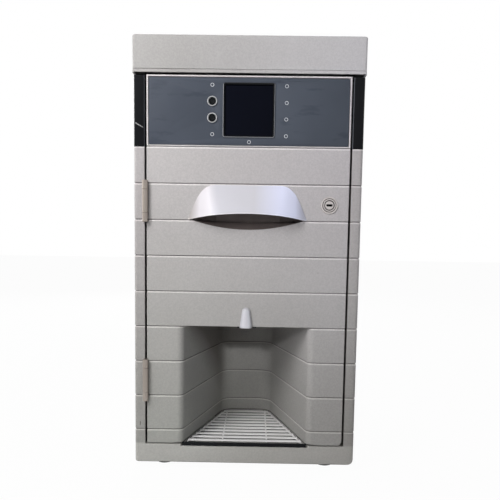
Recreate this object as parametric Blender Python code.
"""Table-top automatic coffee machine, built as separate pieces around four moving groups.

Units are metres.  +X is to the right of someone who faces the machine, +Z is up, and the front
faces -Y.  The origin lies on the table, under the middle of the machine.  Most sizes are given as
a depth behind the front face and a height above the lower edge of the body; place() turns them
into world coordinates.
"""

import math

import bmesh
import bpy
from mathutils import Matrix, Vector

for old in list(bpy.data.objects):
    bpy.data.objects.remove(old, do_unlink=True)

# ---------------------------------------------------------------- driving dimensions

BODY_W = 0.335          # across the two front columns
BODY_D = 0.500          # front face to the rear panel's outer face
FOOT_H = 0.012          # table to the body's lower edge
FOOT_R = 0.016
FOOT_INSET = 0.040      # foot centre in from each outer face
SEAT = 0.0003           # gap left between pieces that touch
SKIN = 0.0015           # sheet-metal panels

COLUMN_W = 0.0160       # front columns, either side of the door
DOOR_GAP = 0.0026       # between the door and the frame around it
DOOR_DEEP = 0.030       # front face to the back of the door's return flange
DOOR_SKIN = 0.004
FLANGE = 0.003
BASE_H = 0.0288         # height of the base strip under the door
DOOR_LOW = 0.0305
DOOR_TOP = 0.578
COLUMN_D = 0.018

ROW_LOW = 0.0524        # height of the lowest groove
ROW_PITCH = 0.0530
ROWS = 8
GROOVE_W = 0.0034
GROOVE_D = 0.0016

FASCIA_LOW = 0.4790
FASCIA_TOP = 0.5750
FASCIA_T = 0.0022
RIM = 0.0030            # silver rim left around the fascia
SPLIT_H = 0.4755        # black trims start here

DISPLAY_W = 0.0752
DISPLAY_H = 0.0772
DISPLAY_MID = 0.5291
BEZEL = 0.0028
BEZEL_DEEP = 0.0040
GLASS_T = 0.0020

KEY_X = -0.0533
KEY_TOP_H = 0.5414
KEY_STEP = 0.0236
KEY_RING_R = 0.0073
KEY_CAP_R = 0.0050
KEY_TRAVEL = 0.0015

NICHE_TOP = 0.2125
NICHE_LOW = 0.0318
NICHE_FRONT = 0.0952    # half width where the walls would meet the front face
NICHE_BACK = 0.0413     # half width where they would meet the back wall
NICHE_D = 0.1728
NICHE_CORNER = 0.025
MOUTH_R = 0.0115
NICHE_WALL = 0.003

TRAY_FRONT = 0.0035     # depth of the tray's front face
TRAY_TOP = 0.0313
TRAY_LIP = 0.0070       # height of the tray's rim
TRAY_LOW = 0.0060
TRAY_GAP = 0.0010       # between the tray and the niche walls' outline
TRAY_WALL = 0.0016
GRILLE_T = 0.0034
GRILLE_BAR = 0.0030
SLATS = 9
SLAT_W = 0.0042
RIB_X = 0.0346

HANDLE_HALF = 0.0870
HANDLE_TOP = 0.4215
HANDLE_END = 0.3710
HANDLE_ARCH = 0.0085
HANDLE_OUT = 0.0220     # how far the lip stands out of the door
HANDLE_T = 0.0030
POCKET_HALF = 0.0720
POCKET_LOW = 0.3570
POCKET_RISE = 0.0100
POCKET_TOP = 0.3960
CUP_DEEP = 0.0220

LOCK_INSET = 0.0289     # lock centre in from the door's right edge
LOCK_H = 0.3942
LOCK_HEAD_R = 0.0128
LOCK_BARREL_R = 0.0095
PLUG_R = 0.0065
CAM_LONG = 0.0360
CAM_T = 0.0025

BARREL_R = 0.0043       # hinge barrels
PIN_R = 0.0015
LEAF_T = 0.0008
UPPER_HINGE = (0.3664, 0.4270)
LOWER_HINGE = (0.0977, 0.1613)
KNUCKLE_END = 0.0130    # length of each end knuckle

NOSE_LOW = 0.2110
NOSE_TOP = 0.2412
NOSE_R = 0.0078
NOSE_TIP_R = 0.0050

LID_LOW = 0.5804
LID_TOP = 0.6338
LID_GAP = 0.0034        # between the lid and the body
LID_OVER = 0.0015       # lid stands this far past the body
LID_WALL = 0.003
LID_LIP_H = 0.0045
LID_LIP_OUT = 0.0010

REAR_OUT = 0.018        # water inlet behind the rear panel

SHELF_H = 0.2320        # shelf that carries the works
SHELF_FRONT = 0.190
DECK_H = 0.5700
WORK_D = 0.300          # depth of the grinding and brewing axis
BREW_HALF = 0.060
BREW_TOP = 0.385
PISTON_R = 0.0220
GRINDER_R = 0.045
GRINDER_TOP = 0.4655
BURR_R = 0.0240
HOPPER_HALF_X = 0.070
HOPPER_HALF_D = 0.090
HOPPER_NECK = 0.022
HOPPER_WALL = 0.0025
BOILER_X = -0.108
BOILER_BACK = 0.075     # boiler and pump centres in from the rear panel
BOILER_R = 0.045
BOILER_H = 0.180
PUMP_X = 0.108
PUMP_R = 0.030
PUMP_LONG = 0.100
BIN_HALF = 0.060
BIN_LONG = 0.190
BIN_TOP = 0.200

FRONT = HANDLE_OUT - (BODY_D + HANDLE_OUT + REAR_OUT) / 2   # y of the door's front face
HALF_W = BODY_W / 2
COLUMN_IN = HALF_W - COLUMN_W
DOOR_HALF = COLUMN_IN - DOOR_GAP
LOCK_X = DOOR_HALF - LOCK_INSET
BOILER_D = BODY_D - BOILER_BACK
HINGE_X = -(DOOR_HALF + DOOR_GAP / 2)
HINGE_OUT = BARREL_R + SEAT
NICHE_SLOPE = math.atan((NICHE_FRONT - NICHE_BACK) / NICHE_D)
TOP_OF_BODY = LID_LOW - LID_GAP
LID_HINGE_H = LID_LOW - LID_GAP / 2

MATERIALS = {
    "silver_paint": ((0.45, 0.43, 0.41), 0.45, 0.1),
    "gloss_black": ((0.012, 0.013, 0.016), 0.12, 0.0),
    "slate_panel": ((0.075, 0.092, 0.12), 0.40, 0.0),
    "grey_steel": ((0.42, 0.42, 0.41), 0.45, 0.6),
    "chrome": ((0.85, 0.85, 0.85), 0.12, 1.0),
    "nickel": ((0.62, 0.56, 0.50), 0.30, 1.0),
    "dark_glass": ((0.01, 0.011, 0.016), 0.05, 0.0),
    "bright_handle": ((0.62, 0.61, 0.66), 0.28, 0.3),
    "black_plastic": ((0.03, 0.03, 0.03), 0.50, 0.0),
    "steel_bars": ((0.72, 0.72, 0.72), 0.25, 1.0),
    "rubber": ((0.02, 0.02, 0.02), 0.85, 0.0),
    "board_green": ((0.02, 0.12, 0.05), 0.50, 0.0),
    "copper": ((0.72, 0.40, 0.26), 0.30, 1.0),
    "smoke_plastic": ((0.10, 0.08, 0.07), 0.20, 0.0),
    "white_plastic": ((0.70, 0.70, 0.68), 0.40, 0.0),
    "brass": ((0.70, 0.52, 0.25), 0.30, 1.0),
    "boiler_jacket": ((0.55, 0.55, 0.53), 0.60, 0.0),
}


# ---------------------------------------------------------------- helpers

def place(x, depth, height):
    """World point for a distance from the middle, a depth and a height above the body's edge."""
    return Vector((x, FRONT + depth, FOOT_H + height))


def material(name):
    """The named Principled material, made when it is first asked for."""
    if name in bpy.data.materials:
        return bpy.data.materials[name]
    colour, rough, metal = MATERIALS[name]
    made = bpy.data.materials.new(name)
    made.use_nodes = True
    shader = made.node_tree.nodes["Principled BSDF"]
    shader.inputs["Base Color"].default_value = (*colour, 1)
    shader.inputs["Roughness"].default_value = rough
    shader.inputs["Metallic"].default_value = metal
    return made


def from_bmesh(name, shape, finish):
    """An object that holds the shape, with its faces turned outwards."""
    bmesh.ops.recalc_face_normals(shape, faces=shape.faces)
    mesh = bpy.data.meshes.new(name)
    shape.to_mesh(mesh)
    shape.free()
    obj = bpy.data.objects.new(name, mesh)
    bpy.context.scene.collection.objects.link(obj)
    if finish:
        mesh.materials.append(material(finish))
    return obj


def loft(name, rings, finish=None):
    """A closed solid through rings that have the same number of points, capped at both ends."""
    shape = bmesh.new()
    made = [[shape.verts.new(point) for point in ring] for ring in rings]
    count = len(made[0])
    for low, high in zip(made, made[1:]):
        for i in range(count):
            j = (i + 1) % count
            shape.faces.new((low[i], low[j], high[j], high[i]))
    shape.faces.new(made[0])
    shape.faces.new(reversed(made[-1]))
    return from_bmesh(name, shape, finish)


def block(name, xs, depths, heights, finish=None):
    """A box between two values along each direction."""
    return prism(name, [(xs[0], depths[0]), (xs[1], depths[0]), (xs[1], depths[1]),
                        (xs[0], depths[1])], "z", heights, finish)


def prism(name, outline, axis, span, finish=None):
    """An outline drawn across one axis and pulled along it from span[0] to span[1].

    Along z the outline holds (x, depth), along y (x, height), and along x (depth, height).
    """
    spots = {
        "x": lambda a, b, t: place(t, a, b),
        "y": lambda a, b, t: place(a, t, b),
        "z": lambda a, b, t: place(a, b, t),
    }
    return loft(name, [[spots[axis](a, b, t) for a, b in outline] for t in span], finish)


def circle(a, b, radius, sides=32):
    """Outline of a round bar centred on (a, b)."""
    turn = math.tau / sides
    return [(a + radius * math.cos(i * turn), b + radius * math.sin(i * turn))
            for i in range(sides)]


def arc(a, b, radius, start, end, steps):
    """Points along part of a circle, from the start angle to the end angle."""
    return [(a + radius * math.cos(start + (end - start) * i / steps),
             b + radius * math.sin(start + (end - start) * i / steps))
            for i in range(steps + 1)]


def rod(name, a, b, radius, axis, span, finish=None, sides=32):
    """A round bar along one axis."""
    return prism(name, circle(a, b, radius, sides), axis, span, finish)


def turned(name, a, b, axis, profile, finish=None, sides=40):
    """A solid turned round an axis, from (radius, position along the axis) pairs in a closed loop."""
    shape = bmesh.new()
    rings = []
    for i in range(sides):
        turn = math.tau * i / sides
        ring = []
        for radius, t in profile:
            p, q = a + radius * math.cos(turn), b + radius * math.sin(turn)
            spot = {"x": place(t, p, q), "y": place(p, t, q), "z": place(p, q, t)}[axis]
            ring.append(shape.verts.new(spot))
        rings.append(ring)
    for i in range(sides):
        first, second = rings[i], rings[(i + 1) % sides]
        for k in range(len(profile)):
            n = (k + 1) % len(profile)
            shape.faces.new((first[k], first[n], second[n], second[k]))
    return from_bmesh(name, shape, finish)


def boolean(obj, tool, operation):
    """Cuts, joins or trims obj with a tool that stays out of the render."""
    tool.hide_render = True
    tool.display_type = "WIRE"
    modifier = obj.modifiers.new(tool.name, "BOOLEAN")
    modifier.operation = operation
    modifier.solver = "EXACT"
    modifier.object = tool
    return obj


def cut(obj, tool):
    return boolean(obj, tool, "DIFFERENCE")


def join(obj, tool):
    return boolean(obj, tool, "UNION")


def smooth(obj, angle=35):
    """Round faces shade smooth, and edges sharper than the angle stay crisp."""
    obj.data.shade_smooth()
    obj.data.set_sharp_from_angle(angle=math.radians(angle))
    return obj


def groove_heights():
    return [ROW_LOW + i * ROW_PITCH for i in range(ROWS)]


def grooved_face(front, low, high):
    """Front edge of an upright section, from low to high, with a V at every groove in between."""
    points = [(front, low)]
    for middle in groove_heights():
        if low + GROOVE_W < middle < high - GROOVE_W:
            points += [(front, middle - GROOVE_W / 2), (front + GROOVE_D, middle),
                       (front, middle + GROOVE_W / 2)]
    return points + [(front, high)]


# ---------------------------------------------------------------- niche outline

def niche_half(grow, start):
    """Right-hand half of the niche's outline from a start depth to the middle of the back.

    grow moves the outline out of the niche, so a negative value moves it in.
    """
    slope = NICHE_SLOPE
    reach = MOUTH_R - grow
    mouth_x = NICHE_FRONT + MOUTH_R * (1 - math.sin(slope)) / math.cos(slope)
    corner_x = NICHE_FRONT - (NICHE_CORNER + (NICHE_D - NICHE_CORNER) * math.sin(slope)) \
        / math.cos(slope)
    points = []
    wall_start = MOUTH_R - reach * math.sin(slope)
    if start < wall_start:
        begin = -math.pi / 2
        if start > grow:
            begin = -math.pi + math.asin((MOUTH_R - start) / reach)
        points += arc(mouth_x, MOUTH_R, reach, begin, -math.pi + slope, 8)
    else:
        points.append((NICHE_FRONT - math.tan(slope) * start + grow / math.cos(slope), start))
    points += arc(corner_x, NICHE_D - NICHE_CORNER, NICHE_CORNER + grow, slope, math.pi / 2, 8)
    return points


def niche_outline(grow, start, front=None):
    """Closed outline of the niche; front carries it straight forward to a nearer depth."""
    right = niche_half(grow, start)
    if front is not None:
        right = [(right[0][0], front)] + right
    return right + [(-x, d) for x, d in reversed(right)]


def niche_cavity(name):
    """Tool that cuts the niche, with a groove round its walls at every row."""
    levels = [(-0.010, 0.0)]
    for middle in groove_heights():
        if middle < NICHE_TOP - GROOVE_W:
            levels += [(middle - GROOVE_W / 2, 0.0), (middle, GROOVE_D),
                       (middle + GROOVE_W / 2, 0.0)]
    levels.append((NICHE_TOP, 0.0))
    rings = [[place(x, d, height) for x, d in niche_outline(grow, grow, -0.010)]
             for height, grow in levels]
    return loft(name, rings)


# ---------------------------------------------------------------- cabinet

def cabinet():
    front_frame()
    for side, sign in (("left", -1), ("right", 1)):
        inner, outer = sorted((sign * COLUMN_IN, sign * HALF_W))
        block(f"trim_{side}", (inner, outer), (0, COLUMN_D), (SPLIT_H + SEAT, TOP_OF_BODY),
              "gloss_black")
        skin = sorted((sign * (HALF_W - SKIN), sign * HALF_W))
        block(f"{side}_panel", skin, (COLUMN_D + SEAT, BODY_D), (0, TOP_OF_BODY), "grey_steel")
    base_pan()
    rear_panel()
    shelves()
    for side, x in (("left", -HALF_W + FOOT_INSET), ("right", HALF_W - FOOT_INSET)):
        for end, depth in (("front", FOOT_INSET), ("rear", BODY_D - FOOT_INSET)):
            profile = [(0.003, -FOOT_H), (FOOT_R - 0.002, -FOOT_H), (FOOT_R, -FOOT_H + 0.002),
                       (FOOT_R - 0.001, -SEAT), (0.003, -SEAT)]
            foot = turned(f"foot_{side}_{end}", x, depth, "z", profile, "rubber", 28)
            smooth(foot)


def front_frame():
    """Columns and base strip in one moulding, grooved in line with the door."""
    section = grooved_face(0, 0, SPLIT_H) + [(COLUMN_D, SPLIT_H), (COLUMN_D, 0)]
    frame = prism("front_frame", section, "x", (-HALF_W, HALF_W), "silver_paint")
    clear = block("door_way", (-COLUMN_IN, COLUMN_IN), (-0.01, COLUMN_D + 0.01),
                  (BASE_H, SPLIT_H + 0.01))
    cut(frame, clear)
    ledge = block("tray_ledge", (-NICHE_FRONT - 0.006, NICHE_FRONT + 0.006),
                  (TRAY_FRONT - TRAY_GAP, COLUMN_D + 0.01),
                  (TRAY_TOP - TRAY_LIP - SEAT, BASE_H + 0.01))
    cut(frame, ledge)
    return frame


def base_pan():
    """Bottom tray of the cabinet, open at the top."""
    half = HALF_W - SKIN - SEAT
    rim = TRAY_LOW + 0.016
    pan = block("base_pan", (-half, half), (COLUMN_D + SEAT, BODY_D - SKIN - SEAT), (0, rim),
                "grey_steel")
    hollow = block("pan_hollow", (-half + SKIN, half - SKIN),
                   (COLUMN_D + SEAT + SKIN, BODY_D - 2 * SKIN - SEAT),
                   (TRAY_LOW - SEAT, rim + 0.01))
    return cut(pan, hollow)


def rear_panel():
    """Back sheet with two banks of vent slots."""
    half = HALF_W - SKIN - SEAT
    panel = block("rear_panel", (-half, half), (BODY_D - SKIN, BODY_D), (0, TOP_OF_BODY),
                  "grey_steel")
    for bank in (0.30, 0.47):
        for i in range(6):
            height = bank + i * 0.011
            slot = block(f"vent_{bank}_{i}", (-0.055, 0.055), (BODY_D - 0.01, BODY_D + 0.01),
                         (height, height + 0.0035))
            cut(panel, slot)
    return panel


def shelves():
    """Two cross plates: one under the works, one under the lid."""
    half = HALF_W - SKIN - SEAT
    back = BODY_D - SKIN - SEAT
    shelf = block("mid_shelf", (-half, half), (SHELF_FRONT, back), (SHELF_H - 0.002, SHELF_H),
                  "grey_steel")
    chute = block("chute_hole", (-0.020, 0.020), (WORK_D - 0.030, WORK_D + 0.030),
                  (SHELF_H - 0.01, SHELF_H + 0.01))
    cut(shelf, chute)
    deck = block("top_deck", (-half, half), (DOOR_DEEP + 0.012, back), (DECK_H - 0.002, DECK_H),
                 "grey_steel")
    hopper_hole = block("hopper_hole", (-HOPPER_HALF_X - SEAT, HOPPER_HALF_X + SEAT),
                        (WORK_D - HOPPER_HALF_D - SEAT, WORK_D + HOPPER_HALF_D + SEAT),
                        (DECK_H - 0.01, DECK_H + 0.01))
    cut(deck, hopper_hole)


def strike_plate():
    """Folded sheet behind the right column that the lock's cam turns in behind."""
    low, high = LOCK_H - 0.014, LOCK_H + 0.014
    foot = COLUMN_D + SEAT
    plate = [(COLUMN_IN, foot), (HALF_W - SKIN - SEAT, foot), (HALF_W - SKIN - SEAT, foot + 0.002),
             (COLUMN_IN + 0.002, foot + 0.002), (COLUMN_IN + 0.002, DOOR_DEEP),
             (COLUMN_IN, DOOR_DEEP)]
    return prism("strike_plate", plate, "z", (low, high), "grey_steel")


# ---------------------------------------------------------------- hinges

def hinge(name, frame_side, leaf_side, turn, length):
    """One butt hinge in two pieces, made upright and then carried to its place by turn.

    Locally the pin runs along z from 0 to length, the leaves lie at +y, the fixed leaf at -x.
    """
    low, high = KNUCKLE_END, length - KNUCKLE_END
    reach = HINGE_OUT + COLUMN_D - 0.004
    offset = SEAT / 2 + 0.0001

    def local(label, outline, span, finish=None):
        rings = [[turn @ Vector((x, y, z)) for x, y in outline] for z in span]
        return loft(label, rings, finish)

    def leaf(sign, front):
        near, far = sign * offset, sign * (offset + LEAF_T)
        return [(near, front), (far, front), (far, reach), (near, reach)]

    fixed = local(frame_side, circle(0, 0, BARREL_R, 28), (0, low), "nickel")
    join(fixed, local(f"{name}_top_knuckle", circle(0, 0, BARREL_R, 28), (high, length)))
    join(fixed, local(f"{name}_pin", circle(0, 0, PIN_R, 20), (low / 2, high + low / 2)))
    join(fixed, local(f"{name}_low_leaf", leaf(-1, 0), (0.0002, low - 0.0002)))
    join(fixed, local(f"{name}_top_leaf", leaf(-1, 0), (high + 0.0002, length - 0.0002)))
    join(fixed, local(f"{name}_long_leaf", leaf(-1, HINGE_OUT + 0.0012), (0.0002, length - 0.0002)))
    smooth(fixed)

    knuckle = (low + SEAT, high - SEAT)
    moving = local(leaf_side, circle(0, 0, BARREL_R, 28), knuckle, "nickel")
    join(moving, local(f"{name}_moving_leaf", leaf(1, 0), (knuckle[0] + 0.0002,
                                                           knuckle[1] - 0.0002)))
    cut(moving, local(f"{name}_bore", circle(0, 0, PIN_R + SEAT, 20),
                      (knuckle[0] - 0.005, knuckle[1] + 0.005)))
    smooth(moving)


def hinges():
    for label, (low, high) in (("upper", UPPER_HINGE), ("lower", LOWER_HINGE)):
        turn = Matrix.Translation(place(HINGE_X, -HINGE_OUT, low))
        hinge(f"{label}_door", f"door_hinge_{label}_frame", f"door_hinge_{label}_leaf", turn,
              high - low)
    for label, x in (("left", -0.110), ("right", 0.110)):
        length = 0.050
        start = place(x - length / 2, BODY_D + LID_OVER + BARREL_R + SEAT, LID_HINGE_H)
        turn = Matrix.Translation(start) @ Matrix(((0, 0, 1, 0), (0, -1, 0, 0), (1, 0, 0, 0),
                                                   (0, 0, 0, 1)))
        hinge(f"{label}_lid", f"lid_hinge_{label}_frame", f"lid_hinge_{label}_leaf", turn, length)


# ---------------------------------------------------------------- door

def door_shell():
    """Front skin of the door with its grooves, return flange, niche mouth and openings."""
    section = grooved_face(0, DOOR_LOW, DOOR_TOP) + [(DOOR_DEEP, DOOR_TOP), (DOOR_DEEP, DOOR_LOW)]
    shell = prism("door_shell", section, "x", (-DOOR_HALF, DOOR_HALF), "silver_paint")
    inner = DOOR_HALF - FLANGE
    cheek = NICHE_FRONT + MOUTH_R
    back = (DOOR_SKIN, DOOR_DEEP + 0.01)
    cut(shell, block("door_hollow", (-inner, inner), back,
                     (NICHE_TOP + DOOR_SKIN, DOOR_TOP - FLANGE)))
    for side, xs in (("left", (-inner, -cheek)), ("right", (cheek, inner))):
        cut(shell, block(f"leg_hollow_{side}", xs, back, (DOOR_LOW + FLANGE, NICHE_TOP)))
    cut(shell, niche_cavity("mouth_cut"))
    cut(shell, block("cheek_foot", (-cheek, cheek), (-0.01, DOOR_DEEP + 0.01),
                     (DOOR_LOW - 0.01, NICHE_LOW)))
    fascia_x = DOOR_HALF - RIM
    cut(shell, block("fascia_recess", (-fascia_x, fascia_x), (-0.01, FASCIA_T + SEAT),
                     (FASCIA_LOW, FASCIA_TOP)))
    cut(shell, block("panel_window", (KEY_X - 0.014, -KEY_X + 0.014), (-0.01, DOOR_SKIN + 0.01),
                     (FASCIA_LOW + 0.006, FASCIA_TOP - 0.004)))
    cut(shell, prism("finger_hole", pocket_outline(), "y", (-0.01, DOOR_SKIN + 0.01)))
    cut(shell, rod("lock_hole", LOCK_X, LOCK_H, LOCK_BARREL_R + SEAT, "y",
                   (-0.01, DOOR_SKIN + 0.01)))
    return shell


def pocket_outline():
    """Hole in the door's skin under the handle: an arched lower edge and a straight top."""
    steps = 16
    low = []
    for i in range(steps + 1):
        x = -POCKET_HALF + 2 * POCKET_HALF * i / steps
        low.append((x, POCKET_LOW + POCKET_RISE * (x / POCKET_HALF) ** 2))
    narrow = POCKET_HALF - 0.008
    return low + [(narrow, POCKET_TOP), (-narrow, POCKET_TOP)]


def niche_liner():
    """Tapered walls and ceiling behind the door's mouth, open below over the drip tray."""
    outline = niche_outline(NICHE_WALL, DOOR_DEEP + SEAT)
    liner = prism("niche_liner", outline, "z", (NICHE_LOW, NICHE_TOP + NICHE_WALL),
                  "silver_paint")
    cut(liner, niche_cavity("niche_cut"))
    return smooth(liner, 20)


def finger_cup():
    """Box behind the finger hole that keeps the hand out of the works."""
    wide = POCKET_HALF + 0.004
    low, high = POCKET_LOW - 0.004, POCKET_TOP + 0.004
    depth = DOOR_SKIN + SEAT
    cup = block("finger_cup", (-wide, wide), (depth, depth + CUP_DEEP), (low, high),
                "black_plastic")
    hollow = block("cup_hollow", (-wide + 0.002, wide - 0.002), (0, depth + CUP_DEEP - 0.002),
                   (low + 0.002, high - 0.002))
    return cut(cup, hollow)


def handle_section(x):
    """Section of the handle at one distance from the middle, as (depth, height) points."""
    ratio = min(abs(x) / HANDLE_HALF, 1)
    lip = HANDLE_END + HANDLE_ARCH * (1 - ratio ** 2)
    top = lip + 0.0022 + (HANDLE_TOP - lip - 0.0022) * (1 - ratio ** 4)
    out = 0.0016 + (HANDLE_OUT - 0.0016) * (1 - ratio ** 2) ** 0.8
    wall = min(HANDLE_T, 0.45 * out)
    steps = 10
    outer, inner = [], []
    for i in range(steps + 1):
        share = i / steps
        height = top + (lip - top) * share
        bulge = math.sin(math.pi / 2 * share ** 0.9)
        outer.append((-SEAT - 0.0008 - (out - SEAT - 0.0008) * bulge, height))
    inner_top = lip + (top - lip) * 0.78
    for i in range(steps + 1):
        share = 1 - i / steps
        height = inner_top + (lip - inner_top) * share
        bulge = math.sin(math.pi / 2 * share ** 0.9)
        inner.append((-SEAT - (out - SEAT - wall) * bulge, height))
    return outer + inner + [(-SEAT, (top + inner_top) / 2), (-SEAT, top)]


def handle():
    """Awning-shaped grip with its finger space open below."""
    steps = 28
    rings = []
    for i in range(steps + 1):
        x = HANDLE_HALF * math.sin(math.pi * (i / steps - 0.5))
        rings.append([place(x, depth, height) for depth, height in handle_section(x)])
    return smooth(loft("handle", rings, "bright_handle"), 40)


def rounded(x0, x1, h0, h1, radius, steps=4):
    """Outline of a rectangle with round corners, in x and height."""
    quarter = math.pi / 2
    return (arc(x1 - radius, h0 + radius, radius, -quarter, 0, steps)
            + arc(x1 - radius, h1 - radius, radius, 0, quarter, steps)
            + arc(x0 + radius, h1 - radius, radius, quarter, 2 * quarter, steps)
            + arc(x0 + radius, h0 + radius, radius, 2 * quarter, 3 * quarter, steps))


def control_panel():
    """Fascia, display stack, keys and the boards behind them."""
    half = DOOR_HALF - RIM - SEAT
    fascia = prism("control_fascia", rounded(-half, half, FASCIA_LOW + SEAT, FASCIA_TOP - SEAT,
                                             0.002), "y", (0.0002, FASCIA_T), "slate_panel")
    wide, high = DISPLAY_W / 2, DISPLAY_H / 2
    low_h, top_h = DISPLAY_MID - high, DISPLAY_MID + high
    through = (-0.01, 0.03)
    cut(fascia, prism("display_hole", rounded(-wide - SEAT, wide + SEAT, low_h - SEAT,
                                              top_h + SEAT, 0.003), "y", through))
    bezel = prism("display_bezel", rounded(-wide, wide, low_h, top_h, 0.003), "y",
                  (-0.0006, BEZEL_DEEP), "gloss_black")
    cut(bezel, prism("bezel_hole", rounded(-wide + BEZEL, wide - BEZEL, low_h + BEZEL,
                                           top_h - BEZEL, 0.002), "y", through))
    glass = BEZEL_DEEP + SEAT
    prism("display_window", rounded(-wide, wide, low_h, top_h, 0.002), "y",
          (glass, glass + GLASS_T), "dark_glass")
    module = glass + GLASS_T + SEAT
    board = module + 0.0075
    block("display_module", (-wide, wide), (module, board - SEAT), (low_h, top_h),
          "black_plastic")
    block("control_board", (KEY_X - 0.010, -KEY_X + 0.010), (board, board + 0.0016),
          (FASCIA_LOW + 0.008, FASCIA_TOP - 0.006), "board_green")
    panel_cover(board + 0.0016 + SEAT)
    for label, height in (("upper", KEY_TOP_H), ("lower", KEY_TOP_H - KEY_STEP)):
        cut(fascia, rod(f"key_hole_{label}", KEY_X, height, KEY_RING_R - 0.0008, "y", through))
        key(label, height, board)


def key(label, height, board):
    """Chrome ring held in the fascia and the cap that slides in it on to the board."""
    bore = KEY_CAP_R + SEAT
    neck = KEY_RING_R - 0.0008 - SEAT
    ring = [(bore, -0.0012), (KEY_RING_R - 0.0006, -0.0014), (KEY_RING_R, -0.0008),
            (KEY_RING_R, -SEAT), (neck, -SEAT), (neck, 0.0055), (bore, 0.0055)]
    smooth(turned(f"key_ring_{label}", KEY_X, height, "y", ring, "chrome", 36))
    tip = board - KEY_TRAVEL - SEAT
    cap = [(0.0, -0.0016), (0.6, -0.0013), (0.9, -0.0005), (1.0, 0.0004), (1.0, 0.0050),
           (0.4, 0.0052), (0.4, tip)]
    rings = []
    for share, depth in cap[1:]:
        rings.append([place(x, depth, h) for x, h in circle(KEY_X, height, KEY_CAP_R * share, 28)])
    smooth(loft(f"key_{label}", rings, "black_plastic"))


def panel_cover(seat):
    """Back cover of the control panel, with four posts that hold the board."""
    inner = DOOR_HALF - FLANGE - SEAT
    cover = block("panel_cover", (-inner, inner), (DOOR_DEEP - 0.002, DOOR_DEEP),
                  (FASCIA_LOW - 0.004, DOOR_TOP - FLANGE - SEAT), "grey_steel")
    for i, x in enumerate((KEY_X - 0.006, -KEY_X + 0.006)):
        for k, height in enumerate((FASCIA_LOW + 0.013, FASCIA_TOP - 0.011)):
            join(cover, rod(f"post_{i}_{k}", x, height, 0.0030, "y", (seat, DOOR_DEEP - 0.001),
                            None, 16))
    return cover


def lock():
    """Cylinder lock: a headed body in the door, and a plug that turns the cam behind it."""
    tail = DOOR_DEEP + CAM_T + 4 * SEAT
    bore = PLUG_R + SEAT
    body = [(bore, -0.0024), (0.0098, -0.0024), (0.0104, -0.0018), (LOCK_HEAD_R - 0.0006, -0.0016),
            (LOCK_HEAD_R, -0.0010), (LOCK_HEAD_R, -SEAT), (LOCK_BARREL_R, -SEAT),
            (LOCK_BARREL_R, DOOR_DEEP - 0.001), (bore, DOOR_DEEP - 0.001)]
    smooth(turned("lock_body", LOCK_X, LOCK_H, "y", body, "chrome", 40))
    plug = rod("lock_plug", LOCK_X, LOCK_H, PLUG_R, "y", (-0.0028, DOOR_DEEP - 0.0005), "chrome",
               36)
    join(plug, rod("plug_tail", LOCK_X, LOCK_H, 0.0040, "y", (0.020, tail), None, 24))
    cut(plug, block("key_slot", (LOCK_X - 0.0048, LOCK_X + 0.0048), (-0.01, 0.012),
                    (LOCK_H - 0.0012, LOCK_H + 0.0012)))
    smooth(plug)
    near = DOOR_DEEP + 2 * SEAT
    wide = 0.0075
    outline = arc(LOCK_X, LOCK_H, wide, 0, math.pi, 12) \
        + arc(LOCK_X, LOCK_H - CAM_LONG + wide, wide, math.pi, math.tau, 12)
    cam = prism("lock_cam", outline, "y", (near, near + CAM_T), "grey_steel")
    cut(cam, rod("cam_hole", LOCK_X, LOCK_H, 0.0040 + SEAT, "y", (near - 0.01, near + 0.01), None,
                 24))


def outlet():
    """Nose on the door's face and the twin outlet under the niche's ceiling."""
    rings = []
    for i in range(8):
        share = i / 7
        height = NOSE_LOW + (NOSE_TOP - NOSE_LOW) * share
        radius = NOSE_R + (NOSE_TIP_R - NOSE_R) * share ** 1.6
        if i == 7:
            radius = NOSE_TIP_R * 0.55
        ring = [(-radius, -SEAT), (radius, -SEAT)]
        ring += arc(0, -SEAT, radius, 0, -math.pi, 14)[1:-1]
        rings.append([place(x, depth * 1.15, height) for x, depth in ring])
    smooth(loft("spout_nose", rings, "bright_handle"), 40)
    ceiling = NICHE_TOP - SEAT
    head = block("outlet_head", (-0.020, 0.020), (0.060, 0.092), (ceiling - 0.008, ceiling),
                 "black_plastic")
    for side, x in (("left", -0.011), ("right", 0.011)):
        join(head, rod(f"nozzle_{side}", x, 0.076, 0.0045, "z", (ceiling - 0.013, ceiling - 0.002),
                       None, 20))
    return head


# ---------------------------------------------------------------- drip tray and grille

def drip_tray():
    """Tray under the niche: a rim over the base strip and a basin behind it."""
    rim_low = TRAY_TOP - TRAY_LIP
    tray = prism("drip_tray", niche_outline(-TRAY_GAP, TRAY_FRONT), "z", (rim_low, TRAY_TOP),
                 "black_plastic")
    shrink = 0.006
    start = COLUMN_D + SKIN + 0.002
    basin = prism("tray_basin", niche_outline(-TRAY_GAP - shrink, start), "z",
                  (TRAY_LOW, rim_low + 0.002))
    join(tray, basin)
    seat = TRAY_TOP - GRILLE_T - SEAT
    cut(tray, prism("grille_seat", niche_outline(-TRAY_GAP - TRAY_WALL, TRAY_FRONT + TRAY_WALL),
                    "z", (seat, TRAY_TOP + 0.01)))
    cut(tray, prism("basin_hollow", niche_outline(-TRAY_GAP - shrink - TRAY_WALL,
                                                  start + TRAY_WALL), "z",
                    (TRAY_LOW + TRAY_WALL, TRAY_TOP + 0.01)))
    return tray


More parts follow.
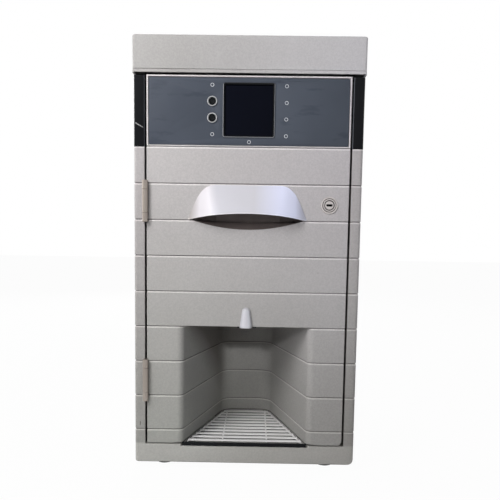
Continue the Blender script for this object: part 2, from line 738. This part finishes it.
def drip_grille():
    """Bright frame that follows the tray, with cross slats and two ribs under them."""
    inset = -TRAY_GAP - TRAY_WALL - SEAT
    start = 0.0120
    low, high = TRAY_TOP - GRILLE_T, TRAY_TOP - 0.0003
    frame = prism("drip_grille", niche_outline(inset, start), "z", (low, high), "steel_bars")
    cut(frame, prism("grille_hollow", niche_outline(inset - GRILLE_BAR, start + GRILLE_BAR), "z",
                     (low - 0.01, high + 0.01)))
    back = NICHE_D + inset
    pitch = (back - start - GRILLE_BAR) / (SLATS + 1)
    trim = niche_outline(inset - GRILLE_BAR / 2, start + GRILLE_BAR / 2)
    for i in range(SLATS):
        middle = start + GRILLE_BAR / 2 + (i + 1) * pitch
        reach = slat_reach(trim, middle, SLAT_W)
        bar = block(f"slat_{i}", (-reach, reach), (middle - SLAT_W / 2, middle + SLAT_W / 2),
                    (high - 0.0016, high - 0.0001))
        join(frame, bar)
    for side, x in (("left", -RIB_X), ("right", RIB_X)):
        rib_end = back - GRILLE_BAR / 2 - 0.004
        join(frame, block(f"rib_{side}", (x - 0.0010, x + 0.0010),
                          (start + GRILLE_BAR / 2, rib_end), (low + 0.0006, high - 0.0010)))
    return frame


def slat_reach(outline, middle, width):
    """Half length of a slat that ends inside the frame's side bars."""
    edges = [abs(x) for x, depth in outline if abs(depth - middle) < width]
    slope = math.tan(NICHE_SLOPE)
    straight = outline[0][0] - slope * (middle + width / 2 - outline[0][1])
    return min(edges + [straight])


# ---------------------------------------------------------------- lid

def lid_shell():
    """Deep top cap, open below, with a small lip along its lower front edge."""
    half = HALF_W + LID_OVER
    face = -LID_OVER
    lip_top = LID_LOW + LID_LIP_H
    section = [(face - LID_LIP_OUT, LID_LOW), (face - LID_LIP_OUT, lip_top - 0.0006),
               (face, lip_top), (face + 0.0012, lip_top + 0.0009), (face, lip_top + 0.0018),
               (face, LID_TOP - 0.003), (face + 0.003, LID_TOP),
               (BODY_D + LID_OVER, LID_TOP), (BODY_D + LID_OVER, LID_LOW)]
    lid = prism("lid_shell", section, "x", (-half, half), "silver_paint")
    hollow = block("lid_hollow", (-half + LID_WALL, half - LID_WALL),
                   (face + LID_WALL + 0.001, BODY_D + LID_OVER - LID_WALL),
                   (LID_LOW - 0.01, LID_TOP - LID_WALL))
    return cut(lid, hollow)


# ---------------------------------------------------------------- works

def brew_unit():
    """Block with an upright cylinder, and the piston that rises in it."""
    low = SHELF_H + SEAT
    unit = block("brew_unit", (-BREW_HALF, BREW_HALF), (SHELF_FRONT + 0.015, WORK_D + 0.060),
                 (low, BREW_TOP), "black_plastic")
    cut(unit, rod("brew_bore", 0, WORK_D, PISTON_R + SEAT, "z", (low + 0.020, BREW_TOP + 0.01)))
    cut(unit, block("brew_chute", (-0.018, 0.018), (WORK_D - 0.015, WORK_D + 0.015),
                    (low - 0.01, low + 0.030)))
    rest = low + 0.020 + SEAT
    piston = rod("brew_piston", 0, WORK_D, PISTON_R, "z", (rest, rest + 0.030), "white_plastic")
    smooth(piston)


def grinder():
    """Round housing on the brew unit with a turning burr under the hopper's neck."""
    low = BREW_TOP + SEAT
    housing = rod("grinder", 0, WORK_D, GRINDER_R, "z", (low, GRINDER_TOP), "black_plastic", 40)
    floor = low + 0.025
    cut(housing, rod("burr_chamber", 0, WORK_D, BURR_R + SEAT, "z", (floor, GRINDER_TOP + 0.01)))
    cut(housing, rod("ground_coffee_hole", 0, WORK_D, 0.010, "z", (low - 0.01, floor + 0.01),
                     None, 24))
    smooth(housing)
    rings = []
    for radius, height in ((BURR_R, floor + SEAT), (BURR_R, floor + 0.012),
                           (BURR_R * 0.35, floor + 0.040)):
        rings.append([place(x, d, height) for x, d in circle(0, WORK_D, radius, 24)])
    loft("grinder_burr", rings, "steel_bars")


def hopper_rings(shrink, low, high):
    """Square rings of the bean hopper, from its neck up to its rim."""
    neck = HOPPER_NECK - shrink
    wide, deep = HOPPER_HALF_X - shrink, HOPPER_HALF_D - shrink
    rings = []
    for half_x, half_d, height in ((neck, neck, low), (neck, neck, GRINDER_TOP + 0.010),
                                   (wide, deep, DECK_H - 0.045), (wide, deep, high)):
        rings.append([place(-half_x, WORK_D - half_d, height), place(half_x, WORK_D - half_d, height),
                      place(half_x, WORK_D + half_d, height),
                      place(-half_x, WORK_D + half_d, height)])
    return rings


def bean_hopper():
    """Funnel that hangs in the deck by its rim, with a loose cover on top."""
    neck_low = GRINDER_TOP + SEAT
    rim_low = DECK_H + SEAT
    rim_top = rim_low + 0.002
    hopper = loft("bean_hopper", hopper_rings(0, neck_low, rim_top), "smoke_plastic")
    wide, deep = HOPPER_HALF_X + 0.006, HOPPER_HALF_D + 0.006
    join(hopper, block("hopper_rim", (-wide, wide), (WORK_D - deep, WORK_D + deep),
                       (rim_low, rim_top - 0.0001)))
    cut(hopper, loft("hopper_hollow", hopper_rings(HOPPER_WALL, neck_low - 0.01,
                                                   rim_top + 0.01)))
    block("hopper_cover", (-wide, wide), (WORK_D - deep, WORK_D + deep),
          (rim_top + SEAT, rim_top + SEAT + 0.0025), "smoke_plastic")


def water_side():
    """Boiler, its pipe to the brew unit, the pump and the inlets on the rear panel."""
    low = SHELF_H + SEAT
    top = low + BOILER_H
    rings = []
    for radius, height in ((BOILER_R - 0.008, low), (BOILER_R, low + 0.008),
                           (BOILER_R, top - 0.010), (BOILER_R - 0.012, top)):
        rings.append([place(x, d, height) for x, d in circle(BOILER_X, BOILER_D, radius, 36)])
    smooth(loft("boiler", rings, "boiler_jacket"))
    pipe("boiler_pipe", [(BOILER_X, BOILER_D, top + SEAT), (BOILER_X, BOILER_D, top + 0.030),
                         (BOILER_X + 0.015, BOILER_D - 0.010, top + 0.042),
                         (-0.060, WORK_D + 0.060, top + 0.042),
                         (-0.050, WORK_D + 0.040, top + 0.030),
                         (-0.050, WORK_D + 0.040, BREW_TOP + SEAT)], 0.003, "copper")
    pump = rod("pump", PUMP_X, low + 0.005 + PUMP_R, PUMP_R, "y",
               (BOILER_D - PUMP_LONG / 2, BOILER_D + PUMP_LONG / 2), "grey_steel", 36)
    join(pump, block("pump_foot", (PUMP_X - 0.022, PUMP_X + 0.022),
                     (BOILER_D - 0.035, BOILER_D + 0.035), (low, low + 0.020)))
    smooth(pump)
    inlet = BODY_D + SEAT
    fitting = [(0.0060, inlet), (0.0170, inlet), (0.0170, inlet + 0.003), (0.0132, inlet + 0.003),
               (0.0132, BODY_D + REAR_OUT - 0.001), (0.0122, BODY_D + REAR_OUT),
               (0.0060, BODY_D + REAR_OUT)]
    smooth(turned("water_inlet", 0.105, 0.060, "y", fitting, "brass", 32))
    socket = block("mains_inlet", (-0.135, -0.085), (inlet, inlet + 0.004), (0.048, 0.078),
                   "black_plastic")
    cut(socket, block("socket_recess", (-0.126, -0.094), (inlet + 0.0015, inlet + 0.01),
                      (0.053, 0.073)))
    block("power_board", (HALF_W - SKIN - SEAT - 0.0016, HALF_W - SKIN - SEAT), (0.230, 0.330),
          (0.300, 0.440), "board_green")


def pipe(name, points, radius, finish):
    """A round pipe along straight runs between points."""
    curve = bpy.data.curves.new(name, "CURVE")
    curve.dimensions = "3D"
    curve.bevel_depth = radius
    curve.bevel_resolution = 2
    curve.use_fill_caps = True
    spline = curve.splines.new("POLY")
    spline.points.add(len(points) - 1)
    for spot, (x, depth, height) in zip(spline.points, points):
        spot.co = (*place(x, depth, height), 1)
    curve.materials.append(material(finish))
    obj = bpy.data.objects.new(name, curve)
    bpy.context.scene.collection.objects.link(obj)
    return obj


def grounds_bin():
    """Open bin on the base pan, under the brew unit's chute."""
    low = TRAY_LOW
    start = NICHE_D + NICHE_WALL + 0.020
    bin_box = block("grounds_bin", (-BIN_HALF, BIN_HALF), (start, start + BIN_LONG),
                    (low, BIN_TOP), "smoke_plastic")
    wall = 0.0025
    return cut(bin_box, block("bin_hollow", (-BIN_HALF + wall, BIN_HALF - wall),
                              (start + wall, start + BIN_LONG - wall),
                              (low + wall, BIN_TOP + 0.01)))


cabinet()
strike_plate()
hinges()
door_shell()
niche_liner()
finger_cup()
handle()
control_panel()
lock()
outlet()
drip_tray()
drip_grille()
lid_shell()
brew_unit()
grinder()
bean_hopper()
water_side()
grounds_bin()
